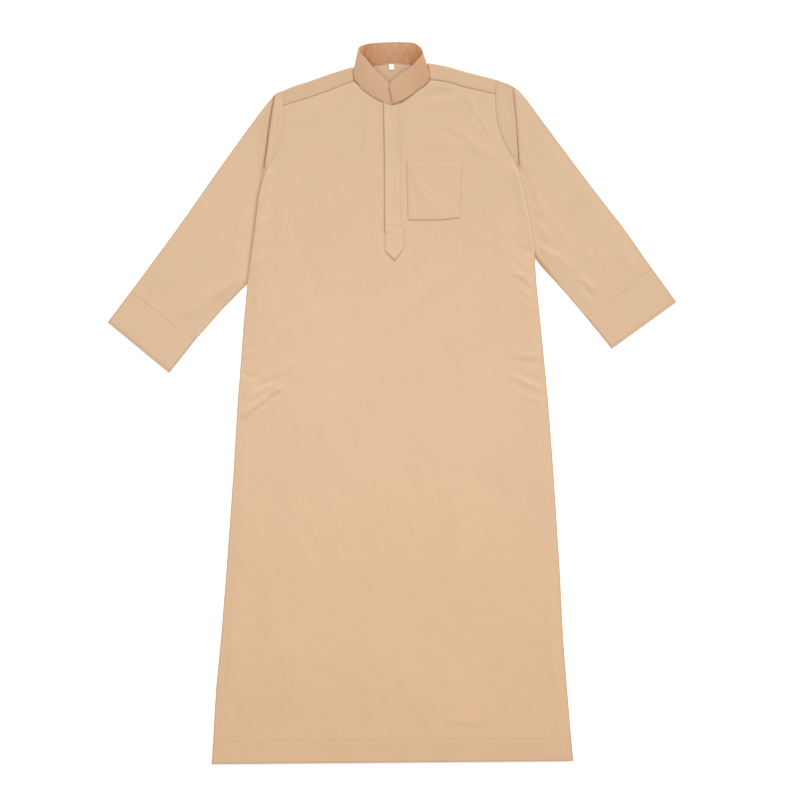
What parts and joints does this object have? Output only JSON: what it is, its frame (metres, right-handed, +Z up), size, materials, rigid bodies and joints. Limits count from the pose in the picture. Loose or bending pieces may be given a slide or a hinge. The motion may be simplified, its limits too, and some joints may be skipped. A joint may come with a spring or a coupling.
{
  "type": "men's long kurta (thobe cut)",
  "caption": "Plain ankle-length long-sleeved kurta with a band collar, front placket and chest pocket, laid out flat on its back",
  "frame": {"origin": "centre of the garment's outline on the surface it lies on", "axes": "+Y from the hem to the collar, +X to the wearer's left, +Z up from the surface, out of the front"},
  "size_m": [1.194, 1.515, 0.0205],
  "materials": {
    "cloth": "plain-woven beige cotton blend with a soft polished face",
    "collar_cloth": "the same cloth over a firm interlining",
    "label_cloth": "white woven tape, blank"
  },
  "bodies": {
    "root": {"back_panel": "cloth", "front_panel": "cloth", "yoke": "cloth", "sleeve_right": "cloth", "sleeve_left": "cloth", "cuff_right": "cloth", "cuff_left": "cloth", "collar_band": "collar_cloth", "placket_over": "cloth", "placket_under": "cloth", "chest_pocket": "cloth", "neck_label": "label_cloth"}
  },
  "joints": []
}
